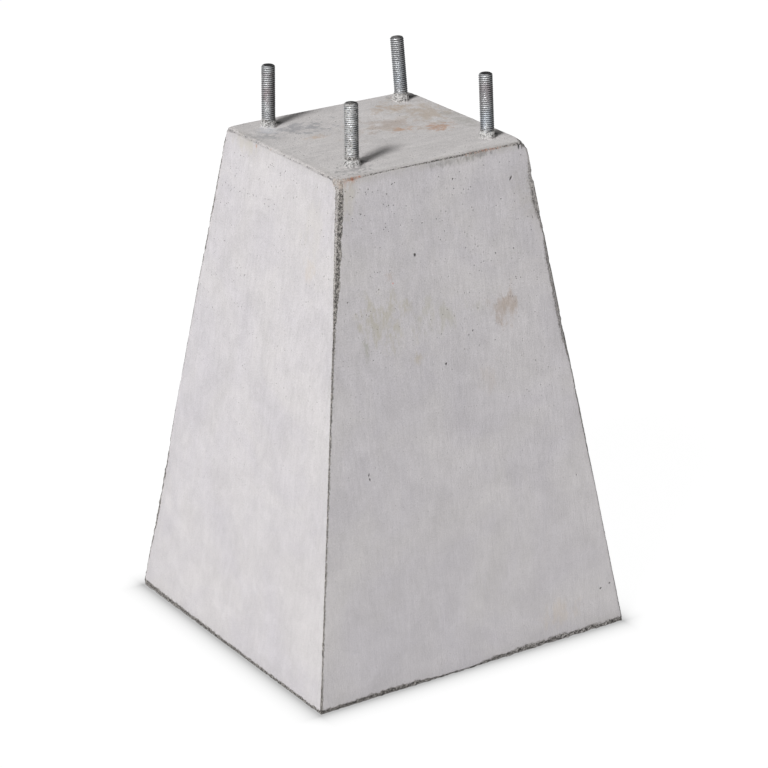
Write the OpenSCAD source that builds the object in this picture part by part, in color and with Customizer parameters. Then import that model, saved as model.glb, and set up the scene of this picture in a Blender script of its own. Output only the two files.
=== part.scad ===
// Cast concrete base block for a post or column: a tapered four-sided block
// with four threaded studs cast into its top. Millimetres, +Z up, origin at
// the centre of the underside. The broad front face looks towards -Y.

/* [Block] */
// Width of the underside, left to right
base_w = 265; // [200:1:340]
// Depth of the underside, front to back
base_d = 255; // [190:1:330]
// Width of the top face, left to right
top_w = 156; // [150:1:190]
// Depth of the top face, front to back
top_d = 150; // [145:1:190]
// Height of the concrete from underside to top face
block_h = 368; // [250:1:480]

/* [Broken edges] */
// Break along the edge of the underside
foot_break = 2.5; // [1:0.25:5]
// Break along the edge of the top face
rim_break = 0.8; // [0.4:0.1:3]
// Break across each sloping corner, at the underside
corner_break_foot = 1; // [0.5:0.25:5]
// Break across each sloping corner, at the top face
corner_break_top = 2.5; // [0.5:0.25:5]
// Depth of the chip knocked off the front right top corner
chip_depth = 4; // [1:0.5:8]

/* [Studs] */
// Thread diameter of each stud
stud_d = 10; // [8:1:14]
// Thread pitch of each stud
thread_pitch = 1.5; // [1:0.25:2]
// Distance between studs, left to right
stud_span_x = 113; // [80:1:120]
// Distance between studs, front to back
stud_span_y = 110; // [80:1:120]
// Sideways offset of the stud group from the block's centre
stud_shift_x = 4; // [-5:0.5:5]
// Front to back offset of the stud group from the block's centre
stud_shift_y = 3; // [-5:0.5:5]
// Length of each stud that is cast into the concrete
stud_embed = 60; // [40:1:120]
// Shortfall of the real thread crests under the nominal radius
crest_loss = 0.1; // [0.1:0.05:0.2]
// Height of the front left stud above the top face
front_left_reach = 45; // [30:0.5:80]
// Height of the back left stud above the top face
back_left_reach = 45.5; // [30:0.5:80]
// Height of the front right stud above the top face
front_right_reach = 47; // [30:0.5:80]
// Height of the back right stud above the top face
back_right_reach = 48; // [30:0.5:80]
// Lean of the back left stud, in degrees
back_left_lean = 1; // [0:0.5:5]
// Lean of the front right stud, in degrees
front_right_lean = 2; // [0:0.5:5]
// Lean of the back right stud, in degrees
back_right_lean = 4; // [0:0.5:5]

/* [Collars] */
// Height of the concrete collar round each stud
collar_h = 5; // [2:0.5:8]
// Width of a collar's wall where it meets the top face
collar_foot_wall = 3; // [1.5:0.25:6]
// Width of a collar's wall at its lip
collar_lip_wall = 1; // [0.5:0.25:1.5]

/* [Hidden] */
$fn = 64;

stud_r = stud_d / 2;
// Concrete fills the thread, so the cast-in length is as thick as the pitch diameter
thread_depth = 0.6134 * thread_pitch;
bond_r = stud_r - thread_depth / 2;
thread_r = stud_r - crest_loss;
end_chamfer = thread_depth;
// A leaning stud stays upright for two threads above its collar
upright_h = 2 * thread_pitch;
// Length of the leaning part that is hidden in the upright part
root_overlap = 0.3;
// Way that the knocked studs lean, in plan, counter-clockwise from +X
lean_toward = 147;
prism_l = 2 * (base_w + base_d);
chip_box = 2 * top_w;

// Outline of the block seen from one side, with its foot and rim edges broken.
// half_foot and half_top are half its width at the underside and at the top.
module taper_outline(half_foot, half_top, foot_cut, rim_cut) {
    slope = (half_foot - half_top) / block_h;
    polygon([
        [-half_foot + foot_cut, 0],
        [half_foot - foot_cut, 0],
        [half_foot - slope * foot_cut, foot_cut],
        [half_top + slope * rim_cut, block_h - rim_cut],
        [half_top - rim_cut, block_h],
        [-half_top + rim_cut, block_h],
        [-half_top - slope * rim_cut, block_h - rim_cut],
        [-half_foot + slope * foot_cut, foot_cut]
    ]);
}

// That outline as a long bar, turned about Z and centred on the axis
module taper_bar(half_foot, half_top, foot_cut, rim_cut, turn) {
    rotate([0, 0, turn])
        rotate([90, 0, 0])
            linear_extrude(height = prism_l, center = true)
                taper_outline(half_foot, half_top, foot_cut, rim_cut);
}

// The four-sided taper: two bars crossed make its faces, and two more, set
// diagonally, break its sloping corners
module tapered_body() {
    diagonal_foot = (base_w + base_d) / 2 / sqrt(2) - corner_break_foot;
    diagonal_top = (top_w + top_d) / 2 / sqrt(2) - corner_break_top;
    intersection() {
        taper_bar(base_w / 2, top_w / 2, foot_break, rim_break, 0);
        taper_bar(base_d / 2, top_d / 2, foot_break, rim_break, 90);
        taper_bar(diagonal_foot, diagonal_top, 0, 0, 45);
        taper_bar(diagonal_foot, diagonal_top, 0, 0, -45);
    }
}

// Everything outside the chip's face at the front right top corner
module corner_chip() {
    translate([top_w / 2, -top_d / 2, block_h])
        rotate([0, -35, -45])
            translate([-chip_depth, -chip_box / 2, -chip_box / 2])
                cube(chip_box);
}

// Puts its children at the foot of one stud, on the top face
module at_stud(side, end) {
    translate([
        stud_shift_x + side * stud_span_x / 2,
        stud_shift_y + end * stud_span_y / 2,
        block_h
    ])
        children();
}

module at_every_stud() {
    for (side = [-1, 1], end = [-1, 1])
        at_stud(side, end) children();
}

// The ring of concrete that was left standing round a stud
module collar() {
    cylinder(
        h = collar_h,
        r1 = stud_r + collar_foot_wall,
        r2 = stud_r + collar_lip_wall
    );
}

// The length of a stud that the concrete holds, which is also its pocket
module cast_in_length() {
    translate([0, 0, -stud_embed])
        cylinder(h = stud_embed + collar_h, r = bond_r);
}

module block() {
    color("silver")
        difference() {
            union() {
                difference() {
                    tapered_body();
                    corner_chip();
                }
                at_every_stud() collar();
            }
            at_every_stud() cast_in_length();
        }
}

// Straight threaded length with a chamfered end
module threaded_end(length) {
    cylinder(h = length - end_chamfer, r = thread_r);
    translate([0, 0, length - end_chamfer])
        cylinder(h = end_chamfer, r1 = thread_r, r2 = thread_r - end_chamfer);
}

// Upright root, at the nominal radius, and the part that has been knocked
// over, which turns about the centre of the root's top
module leaning_end(length, lean, toward) {
    cylinder(h = upright_h, r = stud_r);
    translate([0, 0, upright_h])
        rotate([0, 0, toward])
            rotate([0, lean, 0])
                translate([0, 0, -root_overlap])
                    threaded_end((length - upright_h) / cos(lean) + root_overlap);
}

// One stud: reach is the height of its tip above the top face, and lean the
// angle that it has been knocked over, towards the plan direction toward
module stud(side, end, reach, lean, toward) {
    color("slategray")
        at_stud(side, end) {
            cast_in_length();
            translate([0, 0, collar_h])
                if (lean > 0)
                    leaning_end(reach - collar_h, lean, toward);
                else
                    threaded_end(reach - collar_h);
        }
}

block();
stud(-1, -1, front_left_reach, 0, 0);  // stud_front_left
stud(1, -1, front_right_reach, front_right_lean, lean_toward);  // stud_front_right
stud(-1, 1, back_left_reach, back_left_lean, lean_toward + 180);  // stud_back_left
stud(1, 1, back_right_reach, back_right_lean, lean_toward);  // stud_back_right
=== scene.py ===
import math

import bpy
import numpy as np
from mathutils import Matrix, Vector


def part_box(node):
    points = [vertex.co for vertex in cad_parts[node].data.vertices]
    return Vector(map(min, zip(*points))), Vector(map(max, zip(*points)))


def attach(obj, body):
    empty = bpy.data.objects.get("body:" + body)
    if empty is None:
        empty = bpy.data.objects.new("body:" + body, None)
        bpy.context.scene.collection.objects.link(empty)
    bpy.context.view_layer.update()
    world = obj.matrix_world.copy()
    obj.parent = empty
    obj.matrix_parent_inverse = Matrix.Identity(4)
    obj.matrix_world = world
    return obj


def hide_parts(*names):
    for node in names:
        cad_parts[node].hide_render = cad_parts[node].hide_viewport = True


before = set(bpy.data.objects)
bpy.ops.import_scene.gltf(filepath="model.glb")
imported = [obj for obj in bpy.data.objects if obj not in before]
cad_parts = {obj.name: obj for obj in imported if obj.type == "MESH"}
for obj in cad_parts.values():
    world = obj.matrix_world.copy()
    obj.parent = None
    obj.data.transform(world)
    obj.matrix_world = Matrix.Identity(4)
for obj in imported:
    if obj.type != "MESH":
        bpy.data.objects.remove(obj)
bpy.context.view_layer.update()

# Cast concrete base block with four threaded studs in its top.
# Shapes are worked out in millimetres and put into the meshes in metres.
mm = 0.001

# The block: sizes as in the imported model, then how worn it is
block = {
    "footW": 265.0, "footD": 255.0, "topW": 156.0, "topD": 150.0, "height": 368.0,
    "cells": 36,              # grid cells along each side before refining
    "steps": 5,               # times that long edges are split
    "coarse": 6.5,            # edge length in the middle of a face
    "fine": 1.0,              # edge length along the arrises
    "fineBand": 3.0,          # how far the fine mesh runs from an arris
    "growth": 0.5,            # how fast edges lengthen past that
    "slack": 1.25,            # an edge is split when it is this many times too long
    "core": 12.0,             # arrises are worn towards a core this far inside
    "wave": (0.22, 75.0),     # depth and size of the slow waves of the faces
    "slow": 14.0, "grain": 2.6,         # sizes of the waves that make a break ragged
    "rough": (0.26, 1.5, 0.14),         # a broken face: depth and size of its grain, and how far it sinks
}

# How each arris is broken, in rows along it. Each row has its place from 0 to 1; the width of
# the break on the first face and on the second; the part of the break, from the first face,
# that is pale and not dark; how strong the dark, partly painted shade, and the pale are; and the grime beside
# it, partly painted shade below the top rim.
# rag: how ragged; chips: how many, and the deepest bite.
arrisRow = ("at", "first", "second", "split", "dark", "pale", "soilAndShade")
arrises = {
    "frontLeft": {"faces": ("left", "front"), "rag": 0.28, "chips": (7, 0.55), "rows": [
        (0.0, 0.9, 1.6, 0, 1, 0, 0.1), (0.05, 0.6, 1.4, 0, 1, 0, 0.1), (0.3, 0.5, 1.2, 0, 1, 0, 0),
        (0.5, 0.55, 1.3, 0, 1, 0, 0), (0.68, 0.6, 1.6, 0, 1, 0.2, 0.1), (0.74, 0.9, 2.1, 0.1, 1, 0.8, 0.1),
        (0.77, 1.4, 2.8, 0.3, 1, 0.9, 0.1), (0.8, 1.9, 3.5, 0.34, 1, 0.9, 0.1),
        (0.85, 2.4, 4.3, 0.36, 1, 0.9, 0.15), (0.94, 3.2, 4.9, 0.42, 1, 0.9, 0.2),
        (0.968, 3.2, 4.8, 0.46, 1, 0.9, 0.25), (0.984, 3.4, 3.6, 1.0, 0.9, 0.9, 0.3),
        (1.0, 10.5, 3.2, 1.0, 0.75, 0.9, 0.3)]},
    "frontRight": {"faces": ("front", "right"), "rag": 0.26, "chips": (14, 0.6), "rows": [
        (0.0, 1.2, 1.0, 0, 0.7, 0, 0.1), (0.3, 0.9, 0.8, 0, 0.6, 0, 0), (0.45, 1.5, 0.8, 0, 0.9, 0.3, 0.2),
        (0.55, 1.2, 0.8, 0, 0.9, 0, 0.1), (0.6, 3.4, 1.2, 0, 1, 0, 0.2), (0.64, 4.2, 1.3, 0, 1, 0, 0.2),
        (0.72, 3.8, 1.2, 0, 1, 0, 0.2), (0.78, 3.4, 1.1, 0, 1, 0, 0.2), (0.81, 1.6, 0.9, 0, 0.9, 0.2, 0.3),
        (0.84, 2.6, 0.9, 0, 0.66, 0.5, 0.4), (0.88, 5.6, 0.9, 0, 0.56, 0.7, 0.6),
        (0.94, 4.4, 0.6, 0, 0.5, 0.7, 0.5), (0.97, 1.4, 0.5, 0, 0.45, 0.7, 0.4),
        (1.0, 1.2, 1.0, 0, 0.45, 0.7, 0.5)]},
    "backLeft": {"faces": ("back", "left"), "rag": 0.45, "chips": (12, 0.7), "rows": [
        (0.0, 1.0, 1.8, 0, 0.8, 0, 0.2), (0.06, 0.9, 1.8, 0, 0.8, 0, 0.1), (0.15, 1.2, 3.4, 0, 1, 0, 0.2),
        (0.28, 1.4, 4.0, 0, 1, 0, 0.2), (0.33, 0.8, 1.8, 0, 0.8, 0, 0), (0.45, 0.6, 1.2, 0, 0.5, 0, 0),
        (0.7, 0.6, 1.7, 0, 0.8, 0, 0), (0.88, 0.9, 2.5, 0, 1, 0, 0.1), (0.97, 1.2, 2.2, 0, 0.9, 0.2, 0.2),
        (1.0, 2.4, 2.4, 0.6, 0.3, 0.5, 0.3)]},
    "backRight": {"faces": ("right", "back"), "rag": 0.5, "chips": (16, 0.9), "rows": [
        (0.0, 1.4, 1.2, 0, 0.8, 0, 0.1), (0.25, 1.0, 0.9, 0, 0.7, 0, 0), (0.5, 1.2, 1.6, 0, 0.9, 0.2, 0.1),
        (0.7, 2.8, 2.2, 0.2, 1, 0.5, 0.2), (0.88, 3.2, 2.8, 0.3, 1, 0.6, 0.3),
        (0.95, 2.0, 1.8, 0.3, 0.8, 0.5, 0.3), (1.0, 2.6, 2.6, 0.6, 0.3, 0.6, 0.4)]},
    "rimFront": {"faces": ("top", "front"), "rag": 0.5, "chips": (9, 0.5), "rows": [
        (0.0, 2.4, 2.6, 1, 0.4, 0.9, 0.5), (0.04, 1.8, 2.0, 1, 0.4, 0.8, 0.4),
        (0.13, 1.1, 1.2, 0.6, 0.5, 0.5, 0.4), (0.2, 0.9, 1.0, 0, 0.6, 0.3, 0.4),
        (0.45, 0.9, 1.0, 0, 0.64, 0.3, 0.5), (0.6, 1.0, 1.1, 0, 0.64, 0.3, 0.7),
        (0.68, 1.1, 1.5, 0, 0.7, 0.3, 0.85), (0.76, 1.2, 1.4, 0, 0.66, 0.5, 0.8),
        (0.82, 1.4, 1.2, 0, 0.5, 0.7, 0.6), (0.9, 1.4, 1.2, 0.2, 0.4, 0.8, 0.5),
        (1.0, 1.8, 1.8, 0.4, 0.45, 0.8, 0.4)]},
    "rimLeft": {"faces": ("top", "left"), "rag": 0.25, "chips": (5, 0.45), "rows": [
        (0.0, 2.6, 2.4, 0.8, 0.45, 0.7, 0.4), (0.08, 2.2, 2.0, 0.7, 0.42, 0.4, 0.35),
        (0.3, 1.8, 1.7, 0.7, 0.3, 0.2, 0.3), (0.7, 1.8, 1.8, 0.7, 0.3, 0.2, 0.3),
        (0.92, 2.2, 2.2, 0.7, 0.42, 0.3, 0.45), (1.0, 3.0, 3.0, 0.7, 0.45, 0.3, 0.5)]},
    "rimBack": {"faces": ("top", "back"), "rag": 0.35, "chips": (4, 0.4), "rows": [
        (0.0, 2.0, 2.0, 0.6, 0.3, 0.5, 0.4), (0.1, 0.9, 1.0, 0.2, 0.6, 0.3, 0.3),
        (0.5, 0.8, 1.0, 0, 0.8, 0.1, 0.2), (0.9, 0.9, 1.2, 0.2, 0.7, 0.3, 0.3),
        (1.0, 2.0, 2.0, 0.5, 0.4, 0.5, 0.4)]},
    "rimRight": {"faces": ("top", "right"), "rag": 0.35, "chips": (4, 0.4), "rows": [
        (0.0, 2.0, 2.4, 0.5, 0.5, 0.6, 0.5), (0.12, 0.9, 1.1, 0.2, 0.7, 0.3, 0.3),
        (0.5, 0.8, 1.0, 0, 0.7, 0.1, 0.2), (0.9, 0.9, 1.1, 0.2, 0.6, 0.3, 0.3),
        (1.0, 2.0, 2.0, 0.5, 0.4, 0.5, 0.4)]},
    "footFront": {"faces": ("bottom", "front"), "rag": 0.34, "chips": (22, 0.6), "rows": [
        (0.0, 1.0, 3.2, 0, 0.9, 0.3, 0.1), (0.08, 1.2, 3.6, 0, 0.85, 0.4, 0.1),
        (0.3, 1.3, 4.0, 0, 0.8, 0.5, 0.1), (0.38, 1.0, 2.0, 0, 0.7, 0.4, 0),
        (0.48, 0.8, 1.6, 0, 0.65, 0.4, 0), (0.55, 1.0, 3.2, 0, 0.75, 0.5, 0.1),
        (0.66, 1.2, 4.8, 0, 0.68, 0.6, 0.2), (0.76, 1.2, 4.6, 0, 0.68, 0.6, 0.2),
        (0.83, 1.0, 4.0, 0, 0.64, 0.6, 0.2), (0.92, 1.2, 4.6, 0, 0.6, 0.7, 0.3),
        (1.0, 0.9, 3.6, 0, 0.75, 0.5, 0.3)]},
    "footLeft": {"faces": ("bottom", "left"), "rag": 0.22, "chips": (9, 0.5), "rows": [
        (0.0, 1.2, 3.4, 0, 0.85, 0, 0.1), (0.3, 1.2, 3.4, 0, 0.85, 0, 0.1),
        (0.7, 1.4, 4.4, 0, 0.85, 0, 0.1), (1.0, 1.8, 5.6, 0, 0.9, 0, 0.2)]},
    "footBack": {"faces": ("bottom", "back"), "rag": 0.5, "chips": (18, 0.8), "rows": [
        (0.0, 1.6, 4.0, 0, 0.95, 0.2, 0.2), (0.35, 1.2, 2.6, 0, 0.9, 0.2, 0.1),
        (0.6, 1.0, 1.8, 0, 0.8, 0.3, 0.1), (1.0, 1.8, 4.0, 0, 0.95, 0.2, 0.2)]},
    "footRight": {"faces": ("bottom", "right"), "rag": 0.5, "chips": (18, 0.8), "rows": [
        (0.0, 0.9, 2.8, 0, 1, 0.2, 0.3), (0.3, 1.2, 2.4, 0, 0.85, 0.3, 0.1),
        (0.7, 1.4, 3.4, 0, 0.9, 0.2, 0.1), (1.0, 1.6, 4.0, 0, 0.95, 0.2, 0.2)]},
}
chipBalls = {"radius": (3.0, 9.0), "seed": 23}

# The one large chip, off the front right top corner: a leaning plane
cornerChip = {"normal": (0.597, -0.344, 0.725), "depth": 3.6, "rough": 0.9, "dark": 0.58, "pale": 0.8}

# Blow holes in each face: place across, height, half width, half height, turn in degrees, depth
blowHoles = {
    "front": [(-22, 306, 1.5, 1.7, 10, 2.4), (-4, 225, 1.25, 1.6, 0, 2.2),
        (62.5, 344.5, 1.1, 2.8, -35, 2.2), (14, 352.5, 0.8, 1.2, -30, 1.4), (-14, 327, 0.7, 0.7, 0, 1.0),
        (4, 318, 0.8, 0.8, 0, 1.2), (-2, 327.5, 0.6, 0.7, 0, 1.0), (29, 328, 0.8, 0.7, 0, 1.0),
        (-57, 355, 0.7, 0.7, 0, 1.0), (-55, 358, 0.6, 0.6, 0, 1.0), (-40.5, 352, 0.7, 0.7, 0, 1.0),
        (53, 331.5, 0.7, 0.7, 0, 1.0), (-62.5, 342, 0.8, 0.8, 0, 1.2), (-63, 240, 0.7, 0.7, 0, 1.0),
        (-56.5, 244, 0.5, 0.6, 0, 0.9), (-79.5, 284, 0.8, 0.7, 0, 1.0), (45, 294.5, 0.7, 0.7, 0, 1.0),
        (60.5, 295, 0.6, 0.7, 0, 1.0), (20.5, 244, 0.9, 0.9, 0, 0.9), (17, 241.5, 0.6, 0.8, 0, 0.9),
        (122.5, 32, 1.4, 1.1, 20, 1.0), (114, 30, 1.6, 1.0, 30, 1.0), (-75, 161, 0.8, 2.1, -15, 1.8),
        (-74.6, 157.5, 0.8, 2.0, 8, 1.8), (25, 232.5, 0.7, 0.6, 0, 0.9), (0, 312.5, 0.6, 0.6, 0, 0.9),
        (72, 211.5, 0.7, 0.6, 0, 0.9), (100, 120, 0.6, 0.8, 0, 0.9)],
    "left": [(56, 337, 0.8, 0.8, 0, 1.2), (37.5, 329, 0.7, 0.7, 0, 1.0), (1.5, 331, 0.7, 0.8, 0, 1.2),
        (61.5, 288, 0.7, 0.7, 0, 1.0), (40.5, 274, 0.8, 0.7, 0, 1.0), (-59.5, 291, 0.6, 0.7, 0, 1.0),
        (-79, 213, 0.7, 0.7, 0, 1.0), (35, 270, 0.5, 0.6, 0, 0.8)],
    "right": [(-40, 320, 0.9, 1.1, 0, 1.5), (22, 300, 0.7, 0.7, 0, 1.0), (55, 255, 1.1, 0.9, 30, 1.6),
        (-62, 210, 0.7, 0.9, 0, 1.0), (5, 225, 0.6, 0.6, 0, 0.9), (38, 160, 0.8, 1.3, 10, 1.4),
        (-20, 120, 0.7, 0.7, 0, 1.0), (-90, 60, 1.0, 0.8, 0, 1.3)],
    "back": [(30, 330, 0.8, 1.0, 0, 1.3), (-35, 310, 1.0, 1.0, 0, 1.5), (60, 290, 0.7, 0.7, 0, 1.0),
        (-5, 262, 0.6, 0.8, 0, 1.0), (45, 205, 0.9, 0.7, 20, 1.2), (-66, 180, 0.7, 0.7, 0, 1.0),
        (10, 130, 0.8, 1.5, -12, 1.5), (85, 70, 0.9, 0.9, 0, 1.2)],
}
holeShape = {"scale": 0.62, "fine": 0.36, "growth": 0.65, "rag": 0.25, "ragSize": 0.9, "edge": 0.5}

# The studs: where each stands, how high its tip is, how far and which way it leans,
# and how much cement clings to its thread, with the side that it clings to
studs = {
    "studFrontLeft": {"node": "stud_front_left", "at": (-52.5, -52.0), "reach": 45.0,
                      "lean": 0.0, "toward": 0.0, "crust": 0.7, "crustToward": 200.0, "seed": 3},
    "studFrontRight": {"node": "stud_front_right", "at": (60.5, -52.0), "reach": 47.0,
                       "lean": 2.0, "toward": 147.0, "crust": 0.1, "crustToward": 200.0, "seed": 5},
    "studBackLeft": {"node": "stud_back_left", "at": (-52.5, 58.0), "reach": 45.5,
                     "lean": 1.0, "toward": 327.0, "crust": 0.1, "crustToward": 230.0, "seed": 8},
    "studBackRight": {"node": "stud_back_right", "at": (60.5, 58.0), "reach": 48.0,
                      "lean": 4.0, "toward": 147.0, "crust": 0.1, "crustToward": 200.0, "seed": 13},
}
thread = {"crestR": 5.0, "pitch": 1.5, "depth": 0.78, "crestFlat": 0.12, "grooveAt": 0.4,
          "rowsPerPitch": 8, "around": 48, "embed": 60.0, "bondR": 4.54, "upright": 3.0,
          "sleeve": 3.0,            # how far the threaded surface runs down inside its collar
          "tipRound": (1.3, 1.1),   # height over which the tip is rounded off, and how far it draws in
          "dome": 0.25, "capRings": 6, "widest": 4.98,
          # painted shade on the zinc: towards which side it is darker, by how much, and between which cosines
          "paintedShades": ((350.0, 0.78, -0.26, 0.64), (150.0, 0.28, 0.57, 0.9))}
crust = {"lump": 2.4, "low": 1.6, "least": 0.45, "thick": 1.05, "skin": 0.03}

# The concrete left round each stud: height, reach at its lip and its foot, and lumps
collars = {"height": 5.0, "lipR": 5.1, "footR": 6.3, "lump": 0.6, "lumpSize": 3.6, "knobSize": 1.7,
           "fine": 0.42, "fineAt": (6.4, 2.0), "growth": 0.4, "smear": 3.0, "reach": 16.0,
           "studFrontLeft": 1.0, "studFrontRight": 0.6, "studBackLeft": 0.9, "studBackRight": 1.0}


# Value noise from -1 to 1: a hashed number at each corner of a cell, joined by smoothstep weights
def latticeNoise(points, cell, seed):
    scaled = points / cell
    corner = np.floor(scaled).astype(np.int64)
    part = scaled - corner
    part = part * part * (3 - 2 * part)
    total = np.zeros(len(points))
    for step in np.ndindex(2, 2, 2):
        at = corner + np.array(step)
        code = (at[:, 0] * 73856093) ^ (at[:, 1] * 19349663) ^ (at[:, 2] * 83492791) ^ (seed * 40503)
        code = code & 0xFFFFFFFF
        code = ((code ^ (code >> 13)) * 1274126177) & 0xFFFFFFFF
        code = (code ^ (code >> 16)) & 0xFFFF
        weight = np.prod(np.where(np.array(step) == 1, part, 1 - part), axis=1)
        total += weight * code / 32767.5
    return total - 1


# Noise over several octaves: each is half the size and half the weight of the last
def layeredNoise(points, cell, octaves, seed):
    weights = 0.5 ** np.arange(octaves)
    layers = [latticeNoise(points, cell * 0.5 ** k, seed + 17 * k) * weights[k] for k in range(octaves)]
    return sum(layers) / weights.sum()


def smoothStep(low, high, value):
    t = np.clip((value - low) / (high - low), 0, 1)
    return t * t * (3 - 2 * t)


# The four corners of each cell of a grid of points, numbered row by row from start
def gridQuads(rows, columns, start=0):
    n = start + np.arange(rows * columns).reshape(rows, columns)
    return np.stack([n[:-1, :-1], n[1:, :-1], n[1:, 1:], n[:-1, 1:]], -1).reshape(-1, 4)


# Quads to triangles, points at one place made one, and triangles with no area left out
def weld(points, quads):
    tris = np.vstack([quads[:, [0, 1, 2]], quads[:, [0, 2, 3]]])
    first, back = np.unique(np.round(points, 5), axis=0, return_index=True, return_inverse=True)[1:]
    tris = back.reshape(-1)[tris]
    good = (tris[:, 0] != tris[:, 1]) & (tris[:, 1] != tris[:, 2]) & (tris[:, 2] != tris[:, 0])
    return points[first], tris[good]


# Splits each edge that is longer than the length wanted at its middle, and so
# each triangle into two, three or four. Neighbours share the new points.
def refine(points, tris, lengthAt):
    ends = np.sort(tris[:, [0, 1, 1, 2, 2, 0]].reshape(-1, 2), axis=1)
    key, edgeOf = np.unique(ends[:, 0] * len(points) + ends[:, 1], return_inverse=True)
    low, high = key // len(points), key % len(points)
    middle = (points[low] + points[high]) / 2
    split = np.linalg.norm(points[low] - points[high], axis=1) > lengthAt(middle)
    number = np.full(len(key), -1)
    number[split] = len(points) + np.arange(split.sum())
    mid = number[edgeOf.reshape(-1, 3)]
    cut = (mid >= 0) @ np.array([1, 2, 4])
    turn = np.array([0, 0, 1, 0, 2, 2, 1, 0])[cut]        # turns the triangle so its split edges come first
    order = (np.arange(3) + turn[:, None]) % 3
    a, b, c = np.take_along_axis(tris, order, axis=1).T
    p, q, r = np.take_along_axis(mid, order, axis=1).T
    one, two, three = np.isin(cut, (1, 2, 4)), np.isin(cut, (3, 5, 6)), cut == 7
    made = [np.stack([a, b, c], 1)[cut == 0]]
    made += [np.stack(t, 1)[one] for t in ((a, p, c), (p, b, c))]
    made += [np.stack(t, 1)[two] for t in ((p, b, q), (a, p, q), (a, q, c))]
    made += [np.stack(t, 1)[three] for t in ((a, p, r), (p, b, q), (r, q, c), (p, q, r))]
    return np.vstack([points, middle[split]]), np.vstack(made)


# A mesh object from points in millimetres and triangles, with named values on its points
def makePiece(name, points, tris, values):
    mesh = bpy.data.meshes.new(name)
    mesh.from_pydata((points * mm).tolist(), [], tris.tolist())
    mesh.polygons.foreach_set("use_smooth", np.ones(len(tris), dtype=bool))
    for label, value in values.items():
        mesh.attributes.new(label, "FLOAT", "POINT").data.foreach_set("value", value.astype(np.float32))
    mesh.update()
    piece = bpy.data.objects.new(name, mesh)
    bpy.context.scene.collection.objects.link(piece)
    return piece


# The block's surface. slopeX and slopeY say how fast its sides draw in with height.
slopeX = (block["footW"] - block["topW"]) / 2 / block["height"]
slopeY = (block["footD"] - block["topD"]) / 2 / block["height"]
cosX, cosY = 1 / math.hypot(1, slopeX), 1 / math.hypot(1, slopeY)
outward = {
    "left": np.array([-cosX, 0, slopeX * cosX]), "right": np.array([cosX, 0, slopeX * cosX]),
    "front": np.array([0, -cosY, slopeY * cosY]), "back": np.array([0, cosY, slopeY * cosY]),
    "bottom": np.array([0, 0, -1.0]), "top": np.array([0, 0, 1.0]),
}
faceOffset = {
    "left": block["footW"] / 2 * cosX, "right": block["footW"] / 2 * cosX,
    "front": block["footD"] / 2 * cosY, "back": block["footD"] / 2 * cosY,
    "bottom": 0.0, "top": block["height"],
}


# How deep a point lies under each face's plane: the plane's offset less the point along its normal
def depthUnder(points, face):
    return faceOffset[face] - points @ outward[face]


# A sharp four-sided taper: each side is the straight blend of its foot and top
# edges, and the top and underside are flat grids with the same points on their rims
def sharpTaper():
    n = block["cells"]
    across, up = np.meshgrid(np.linspace(-1, 1, n + 1), np.linspace(0, 1, 2 * n + 1), indexing="ij")
    halfW = block["footW"] / 2 + (block["topW"] - block["footW"]) / 2 * up
    halfD = block["footD"] / 2 + (block["topD"] - block["footD"]) / 2 * up
    z = up * block["height"]
    grids = [
        np.stack([across * halfW, -halfD, z], -1),
        np.stack([halfW, across * halfD, z], -1),
        np.stack([-across * halfW, halfD, z], -1),
        np.stack([-halfW, -across * halfD, z], -1),
    ]
    flatU, flatV = np.meshgrid(np.linspace(-1, 1, n + 1), np.linspace(-1, 1, n + 1), indexing="ij")
    flat = np.zeros_like(flatU)
    grids.append(np.stack([flatU * block["topW"] / 2, flatV * block["topD"] / 2, flat + block["height"]], -1))
    grids.append(np.stack([-flatU * block["footW"] / 2, flatV * block["footD"] / 2, flat], -1))
    quads, start = [], 0
    for grid in grids:
        quads.append(gridQuads(*grid.shape[:2], start))
        start += grid.shape[0] * grid.shape[1]
    return weld(np.vstack([grid.reshape(-1, 3) for grid in grids]), np.vstack(quads))


# Where a blow hole's centre lies on its face, and the two directions in that face
def onFace(face, across, height):
    normal = outward[face]
    sign = 1.0 if face in ("right", "back") else -1.0
    if face in ("front", "back"):
        centre = np.array([across, sign * (block["footD"] / 2 - slopeY * height), height])
        level = np.array([1.0, 0, 0])
    else:
        centre = np.array([sign * (block["footW"] / 2 - slopeX * height), across, height])
        level = np.array([0, 1.0, 0])
    return centre, level, np.cross(normal, level) * np.sign(np.cross(normal, level)[2])


holes = [(onFace(face, hole[0], hole[1]), hole[2:]) for face, row in blowHoles.items() for hole in row]


# The edge length wanted at a point: fine by the arrises, the holes and the collars, and coarse between
def wantedLength(points):
    depths = np.sort(np.stack([np.abs(depthUnder(points, face)) for face in outward], 1), axis=1)
    length = block["fine"] + block["growth"] * np.maximum(depths[:, 1] - block["fineBand"], 0)
    for (centre, level, rise), (wide, tall, turn, deep) in holes:
        away = np.linalg.norm(points - centre, axis=1) - max(wide, tall) * holeShape["scale"]
        length = np.minimum(length, holeShape["fine"] + holeShape["growth"] * np.maximum(away, 0))
    middle, band = collars["fineAt"]
    for stud in studs.values():
        away = np.hypot(points[:, 0] - stud["at"][0], points[:, 1] - stud["at"][1])
        near = np.where(points[:, 2] > block["height"] - 1, np.abs(away - middle) - band, 99)
        length = np.minimum(length, collars["fine"] + collars["growth"] * np.maximum(near, 0))
    return np.minimum(length, block["coarse"]) * block["slack"]


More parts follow.
